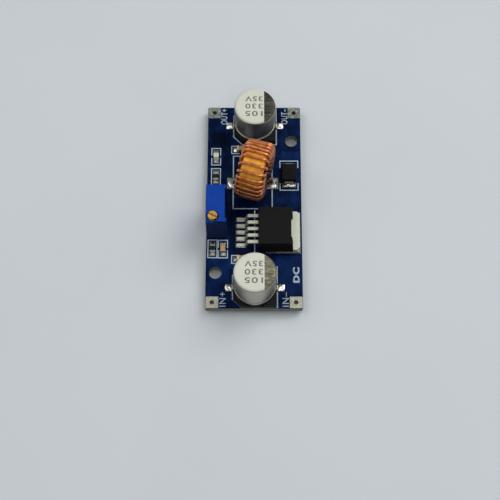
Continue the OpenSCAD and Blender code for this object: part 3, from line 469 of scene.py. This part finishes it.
def solder():
    """Bright solder with a frosted, slightly wrinkled skin, darkened by painted shade and rougher on the
    chips at the -X side.
    """
    f = Finish("solder_bright", rough=0.2, metal=1.0)
    patch = f.noise(1.9, 4.0)
    # painted shade: solder on the chips at the -X side is darkened
    shaded_chips = 1.0 - f.x.past(-6.95, 0.05)
    f.set("Base Color", f.mix(shaded_chips * 0.6, f.mix(patch, rgb("B8B7B0"), rgb("E6E5E0")), rgb("55564F")))
    f.set("Roughness", 0.22 + patch.step(0.4, 0.7) * 0.24 + shaded_chips * 0.1)
    return f.relief(patch + f.noise(6.0) * 0.2, 0.035)


FINISHES = {
    "solder_mask": solder_mask(),
    "print_ink": print_ink(),
    "tinned_pad": tinned_pad(),
    "can_metal": can_metal(),
    "base_plastic": base_plastic(),
    "lead_metal": lead_metal(),
    "core_powder": core_powder(),
    "winding_wire": winding_wire(),
    "mould_compound": mould_compound(),
    "tab_metal": tab_metal(),
    "trimmer_plastic": trimmer_plastic(),
    "screw_brass": screw_brass(),
    "seal_rubber": speckled("seal_rubber_black", "101010", "1E1E1E", 4.0, 0.7),
    "rotor_plastic": speckled("rotor_plastic_ivory", "D8D2BE", "E8E4D6", 1.5, 0.45),
    "contact_metal": speckled("contact_metal", "B09858", "CDB878", 3.0, 0.3, metal=0.9),
    "white_ceramic": speckled("ceramic_white", "D6D8D2", "E8EAE4", 3.0, 0.5),
    "potting_epoxy": speckled("potting_epoxy", "8A8D84", "A8AAA0", 1.2, 0.35, depth=0.04),
    "lens_resin": speckled("lens_resin_green", "B9C8A8", "D6E0C4", 2.0, 0.3, depth=0.02),
    "resistor_glaze": speckled("resistor_glaze_dark", "15181A", "26292A", 4.0, 0.3),
    "tan_ceramic": speckled("ceramic_tan", "A87A50", "C29468", 2.5, 0.45),
    "solder": solder(),
}


def dress_frame():
    """Puts the finishes into the slots of the frame's nodes."""
    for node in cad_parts.values():
        for place in node.material_slots:
            name = place.material.name.split(".")[0]
            place.material = FINISHES[name].material


# ---- building tools ----
def ride_module(name, mesh, slot):
    """A new piece from a mesh, with its finish. It rides on the module."""
    piece = bpy.data.objects.new(name, mesh)
    bpy.context.scene.collection.objects.link(piece)
    piece.data.materials.clear()
    piece.data.materials.append(FINISHES[slot].material)
    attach(piece, "module")
    return piece


def smooth_piece(name, verts, faces, slot):
    """A smooth piece from points in millimetres."""
    mesh = bpy.data.meshes.new(name)
    mesh.from_pydata([Vector(v) * MM for v in verts], [], faces)
    mesh.validate()
    shell = bmesh.new()
    shell.from_mesh(mesh)
    bmesh.ops.recalc_face_normals(shell, faces=shell.faces)
    shell.to_mesh(mesh)
    shell.free()
    mesh.shade_smooth()
    return ride_module(name, mesh, slot)


def skin_faces(rows, sides):
    """Faces over rows of points: a skin that closes round its sides, with a face at both ends."""
    faces = []
    for k in range(rows - 1):
        for s in range(sides):
            n = (s + 1) % sides
            faces.append((k * sides + s, k * sides + n, (k + 1) * sides + n, (k + 1) * sides + s))
    faces.append(tuple(range(sides)))
    faces.append(tuple((rows - 1) * sides + s for s in range(sides)))
    return faces


class Heap:
    """Points and faces of several shapes that make one piece."""

    def __init__(self):
        self.verts = []
        self.faces = []

    def add(self, verts, faces):
        start = len(self.verts)
        self.verts += verts
        self.faces += [tuple(i + start for i in face) for face in faces]

    def make(self, name, slot):
        return smooth_piece(name, self.verts, self.faces, slot)


def pool(heap, at, half, rise, peak=(0.0, 0.0), power=2.0, seed=0, square=5.0, wrinkle=0.06, sectors=36):
    """Solder over a pad: a heap with its foot on the pad's outline and its top at the peak.

    half is the pad's half width and half length. power shapes the flank: under 1 is a dome that
    falls late, over 1 a fillet that sweeps up to a lead. A higher square squares the outline.
    """
    rings = 9
    verts = []
    for k in range(rings + 1):
        t = k / rings
        for s in range(sectors):
            a = 2 * math.pi * s / sectors
            c, d = math.cos(a), math.sin(a)
            reach = (abs(c / half[0]) ** square + abs(d / half[1]) ** square) ** (-1 / square)
            edge = 1 + wrinkle * noise.noise((c * 1.3 + seed * 7.1, d * 1.3, 0.5))
            x = peak[0] * (1 - t) + reach * c * t * edge
            y = peak[1] * (1 - t) + reach * d * t * edge
            lump = 1 + 2.5 * wrinkle * noise.noise((x * 1.6 + seed * 3.7, y * 1.6, 1.5))
            verts.append((at[0] + x, at[1] + y, PAD_TOP + rise * lump * (1 - t) ** power))
    heap.add(verts, skin_faces(rings + 1, sectors))


def tube(path, radius, sides=12):
    """Points and faces of a round wire along a path, with flat ends."""
    last = len(path) - 1
    tangents = [(path[min(i + 1, last)] - path[max(i - 1, 0)]).normalized() for i in range(last + 1)]
    side = tangents[0].cross(Vector((1, 0.3, 0.2))).normalized()
    verts = []
    for point, along in zip(path, tangents):
        side = (side - along * side.dot(along)).normalized()
        other = along.cross(side)
        for k in range(sides):
            a = 2 * math.pi * k / sides
            verts.append(point + radius * (math.cos(a) * side + math.sin(a) * other))
    return verts, skin_faces(last + 1, sides)


# ---- winding ----
def leaned(g, side, shift, outward):
    """Angle of a point of a turn round the ring, moved the more the farther out it lies."""
    past_widest = g - WIDEST_AT
    lean = TURN_LEAN * math.cos(math.radians(g))
    spread = WIDER_BY * past_widest * math.exp(-(past_widest / WIDER_WITHIN) ** 2)
    slope = {1: TURN_SLOPE, 2: -TURN_SLOPE}.get(side, 0.0)
    return g + (lean + spread + slope + shift) * outward


def coil_points(shifts):
    """Centre line of the turns in the ring's own frame. Each turn follows the core's rounded section.

    shifts gives the chance shift of each turn at the two ends of its outer side.
    """
    ring_r = (RING_OD + RING_ID) / 4
    flat_h = (RING_OD - RING_ID) / 4 - RING_EDGE
    flat_w = RING_W / 2 - RING_EDGE
    bend_r = RING_EDGE + WIRE_D / 2 + WIRE_GAP
    bend_l = math.pi / 2 * bend_r
    turn_l = 4 * (flat_h + flat_w + bend_l)
    half_h = flat_h + bend_r
    steps = 6
    points = []
    for turn in range(TURNS):
        for side in range(4):
            start = side * bend_l + flat_w + 2 * (side // 2) * flat_w + 2 * math.ceil(side / 2) * flat_h
            shift = shifts.get((turn, side), 0.0)
            for j in range(steps):
                at = side * steps + j
                if (turn == 0 and at < 2 * steps - 1) or (turn == TURNS - 1 and at > 2 * steps):
                    continue
                swing = j / (steps - 1)
                a = math.pi / 2 * (side + swing)
                across = (flat_w if side < 2 else -flat_w) + bend_r * math.sin(a)
                out = (flat_h if side in (1, 2) else -flat_h) - bend_r * math.cos(a)
                share = (start + bend_l * swing) / turn_l
                g = -90 + LEAD_GAP / 2 + (360 - LEAD_GAP) * (turn + share) / TURNS
                g = math.radians(leaned(g, side, shift, (half_h + out) / (2 * half_h)))
                points.append(Vector((across, (ring_r + out) * math.cos(g), (ring_r + out) * math.sin(g))))
    return points


def coil_lead(coil_end, hole):
    """From a lead hole up, over a bend and flat under the coil to its first or last point."""
    turned = math.radians(COIL_TURN)
    dx, dy = hole[0] - COIL_AT[0], hole[1] - COIL_AT[1]
    x = math.cos(turned) * dx - math.sin(turned) * dy
    y = math.sin(turned) * dx + math.cos(turned) * dy
    below_board = 0.6
    arch = 0.55
    steps = 8
    foot_z = BOARD_UNDER - below_board - COIL_AT[2]
    low = Vector((x, y, BOARD_TOP - COIL_AT[2]))
    bend = Vector((x, y, coil_end.z + arch))
    near_end = coil_end * 0.8 + bend * 0.2
    way = [Vector((x, y, foot_z)), Vector((x, y, foot_z + 1.0))]
    for k in range(steps):
        t = k / steps
        way.append(low * (1 - t) ** 2 + bend * 2 * t * (1 - t) + near_end * t * t)
    return way


def smooth_path(points, between=2):
    """The same path with extra points on a smooth curve between each pair."""
    slack = 0.4
    path = []
    for i in range(len(points) - 1):
        p0, p1, p2 = points[max(i - 1, 0)], points[i], points[i + 1]
        p3 = points[min(i + 2, len(points) - 1)]
        for k in range(between):
            t = k / between
            pull = min((p2 - p1).length, (p1 - p0).length + slack, (p3 - p2).length + slack)
            v1 = (p2 - p0).normalized() * pull
            v2 = (p3 - p1).normalized() * pull
            h = t * t * (3 - 2 * t)
            path.append(p1 * (1 - h) + p2 * h + v1 * (t - 2 * t * t + t ** 3) + v2 * (t ** 3 - t * t))
    path.append(points[-1])
    return path


def make_winding():
    """One wire: a lead, the uneven turns round the core, and the other lead."""
    draw = random.Random(5)
    draws = {(turn, k): draw.uniform(-TURN_SHIFT, TURN_SHIFT)
             for turn in range(TURNS + 1) for k in range(3)}
    shifts = {(turn, side): shift for (turn, side), shift in draws.items() if side > 0}
    coil = coil_points(shifts)
    first = coil_lead(coil[0], LEAD_HOLES[1])
    last = coil_lead(coil[-1], LEAD_HOLES[0])
    path = smooth_path(first + coil + last[::-1])
    place = Matrix.Translation(COIL_AT) @ Matrix.Rotation(-math.radians(COIL_TURN), 4, "Z")
    radius = WIRE_D * 0.46
    verts, faces = tube([place @ p for p in path], radius)
    winding = smooth_piece("winding", verts, faces, "winding_wire")
    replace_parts(winding, "inductor_winding")


# ---- solder ----
def make_capacitor_solder():
    """A dome on each lead's foot, heavier towards the can."""
    heap = Heap()
    from_axis = 6.2
    for n, (side, end) in enumerate(((-1, 1), (1, 1), (-1, -1), (1, -1))):
        at = (CAPACITOR_X + side * from_axis, end * CAPACITOR_Y)
        pool(heap, at, half=(0.95, 0.93), rise=0.5, peak=(-side * 0.25, 0.1), power=0.8,
             seed=n, wrinkle=0.16)
    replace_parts(heap.make("capacitor_joints", "solder"), "capacitor_solder")


def make_inductor_solder():
    """A round fillet about each of the coil's leads."""
    heap = Heap()
    for n, hole in enumerate(LEAD_HOLES):
        pool(heap, hole, half=(1.3, 1.3), rise=0.9, power=1.5, seed=10 + n, square=2.4, wrinkle=0.18)
    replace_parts(heap.make("inductor_joints", "solder"), "inductor_solder")


def make_regulator_solder():
    """Thin pools round the five feet, and a broad one round the tab."""
    heap = Heap()
    thin = {"power": 0.3, "wrinkle": 0.01}
    for i in range(-2, 3):
        at = (FOOT_TIP + FOOT_L / 2, REGULATOR_Y + i * REGULATOR_PITCH)
        pool(heap, at, half=(FOOT_L / 2 + 0.22, 0.52), rise=0.1, seed=20 + i, **thin)
    tab_at = ((TAB_LOW[0] + TAB_HIGH[0]) / 2, REGULATOR_Y)
    tab_half = ((TAB_HIGH[0] - TAB_LOW[0]) / 2 + 0.17, (TAB_HIGH[1] - TAB_LOW[1]) / 2 + 0.28)
    pool(heap, tab_at, half=tab_half, rise=0.16, seed=30, square=24.0, sectors=120, **thin)
    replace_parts(heap.make("regulator_joints", "solder"), "regulator_solder")


def make_diode_solder():
    """A wide fillet beyond each of the diode's two feet."""
    heap = Heap()
    reach = (DIODE_LEADS_HIGH[1] - DIODE_LEADS_LOW[1]) / 2 + 0.1
    for n, end in enumerate((1, -1)):
        at = (DIODE_AT[0], DIODE_AT[1] + end * reach)
        pool(heap, at, half=(1.62, 0.5), rise=0.55, peak=(0, -end * 0.3), power=0.6,
             seed=40 + n, wrinkle=0.12)
    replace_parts(heap.make("diode_joints", "solder"), "diode_solder")


def make_chip_solder():
    """A fillet at both ends of each chip, leaning against it."""
    heap = Heap()
    for n, place in enumerate(UPRIGHT_CHIPS + CROSSWISE_CHIPS):
        for end in (1, -1):
            reach = end * (CHIP_L / 2 + 0.3)
            lean = -end * 0.35
            if place in UPRIGHT_CHIPS:
                at, half, peak = (place[0], place[1] + reach), (0.6, 0.5), (0, lean)
            else:
                at, half, peak = (place[0] + reach, place[1]), (0.5, 0.6), (lean, 0)
            pool(heap, at, half, rise=0.42, peak=peak, power=1.0, seed=50 + 2 * n + end, wrinkle=0.14)
    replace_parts(heap.make("chip_joints", "solder"), "chip_solder")


# ---- print ----
def letter_outline(name, words, bold):
    """Flat mesh of a line of letters."""
    curve = bpy.data.curves.new(name + "_line", "FONT")
    curve.body = words
    curve.align_x = "CENTER"
    curve.space_character = 1.12
    curve.resolution_u = 4
    curve.offset = bold
    line = bpy.data.objects.new(name + "_line", curve)
    bpy.context.scene.collection.objects.link(line)
    bpy.context.view_layer.update()
    mesh = bpy.data.meshes.new_from_object(line.evaluated_get(bpy.context.evaluated_depsgraph_get()))
    bpy.data.objects.remove(line)
    return mesh


def lettering(name, words, at, height, width, turn, slot, lift, bold=0.012):
    """Lettering centred at a place in millimetres and lift thick, on the module."""
    mesh = letter_outline(name, words, bold)
    xs = [v.co.x for v in mesh.vertices]
    ys = [v.co.y for v in mesh.vertices]
    centre = Vector(((min(xs) + max(xs)) / 2, (min(ys) + max(ys)) / 2, 0))
    wide = width / (max(xs) - min(xs))
    tall = height / (max(ys) - min(ys))
    turned = Matrix.Rotation(math.radians(turn), 4, "Z")
    letters = bmesh.new()
    letters.from_mesh(mesh)
    for v in letters.verts:
        p = v.co - centre
        v.co = (turned @ Vector((p.x * wide, p.y * tall, 0)) + Vector(at)) * MM
    skin = bmesh.ops.extrude_face_region(letters, geom=letters.faces[:])
    for v in skin["geom"]:
        if isinstance(v, bmesh.types.BMVert):
            v.co.z += lift * MM
    bmesh.ops.recalc_face_normals(letters, faces=letters.faces)
    letters.to_mesh(mesh)
    letters.free()
    return ride_module(name, mesh, slot)


def make_labels():
    """Polarity marks at the four corners and a mark beside the input."""
    for name, words, x, y, length, bold in LABELS:
        lettering(name, words, (x, y, BOARD_TOP), LABEL_H, length, turn=90, slot="print_ink",
                  lift=0.03, bold=bold)


def make_can_print():
    """Three short lines of value marks on each can's end."""
    ink = can_ink().material
    for end, y in (("output", CAPACITOR_Y), ("input", -CAPACITOR_Y)):
        for n, words in enumerate(CAN_MARKS):
            name = f"{end}_can_mark_{n + 1}"
            at = (CAPACITOR_X + FIRST_MARK[0], y + FIRST_MARK[1] + CAN_MARK_PITCH * n, CAN_TOP + 0.004)
            mark = lettering(name, words, at, CAN_MARK_H, CAN_MARK_L, turn=180, slot="can_metal",
                             lift=0.008)
            mark.data.materials[0] = ink


# ---- stage, light and camera ----
def make_floor():
    """A wide pale floor under the module."""
    mesh = bpy.data.meshes.new("floor")
    corners = [(x * FLOOR_HALF, y * FLOOR_HALF, 0) for x, y in ((-1, -1), (1, -1), (1, 1), (-1, 1))]
    mesh.from_pydata(corners, [], [(0, 1, 2, 3)])
    floor = bpy.data.objects.new("floor", mesh)
    bpy.context.scene.collection.objects.link(floor)
    f = Finish("floor_pale", rough=0.75)
    f.set("Base Color", f.mix(f.noise(0.02, 2.0), rgb("C4C9CD"), rgb("CBD0D4")))
    f.relief(f.noise(2.0), 0.02)
    mesh.materials.append(f.material)


def make_lights():
    """A dim, slightly cool surround, and round lamps aimed at the module."""
    scene = bpy.context.scene
    world = bpy.data.worlds.new("studio")
    world.use_nodes = True
    scene.world = world
    surround = world.node_tree.nodes["Background"]
    surround.inputs["Color"].default_value = (0.93, 0.98, 1.0, 1.0)
    surround.inputs["Strength"].default_value = 0.28
    for name, at, size, power in LAMPS:
        lamp = bpy.data.lights.new(name, "AREA")
        lamp.shape = "DISK"
        lamp.size = size
        lamp.energy = power
        light = bpy.data.objects.new(name, lamp)
        light.location = at
        light.rotation_euler = (-Vector(at)).to_track_quat("-Z", "Y").to_euler()
        scene.collection.objects.link(light)


def make_camera():
    """Looks down at the module from the input end."""
    elevation, azimuth, roll = (math.radians(a) for a in (66.53, 0.39, -0.30))
    target = Vector((-0.97, -12.03, BOARD_TOP))
    distance = 295.8
    back = Vector((math.sin(azimuth) * math.cos(elevation), -math.cos(azimuth) * math.cos(elevation),
                   math.sin(elevation)))
    level = Vector((0, 0, 1)).cross(back).normalized()
    steep = back.cross(level)
    right = level * math.cos(roll) + steep * math.sin(roll)
    up = steep * math.cos(roll) - level * math.sin(roll)
    lens = bpy.data.cameras.new("view")
    lens.lens = 89.04
    lens.sensor_width = 36.0
    lens.clip_start = 0.01
    camera = bpy.data.objects.new("view", lens)
    turn = Matrix((right, up, back)).transposed().to_4x4()
    camera.matrix_world = Matrix.Translation((target + back * distance) * MM) @ turn
    bpy.context.scene.collection.objects.link(camera)
    bpy.context.scene.camera = camera


dress_frame()
make_winding()
make_capacitor_solder()
make_inductor_solder()
make_regulator_solder()
make_diode_solder()
make_chip_solder()
make_labels()
make_can_print()
make_floor()
make_lights()
make_camera()
bpy.context.scene.view_settings.view_transform = "Standard"
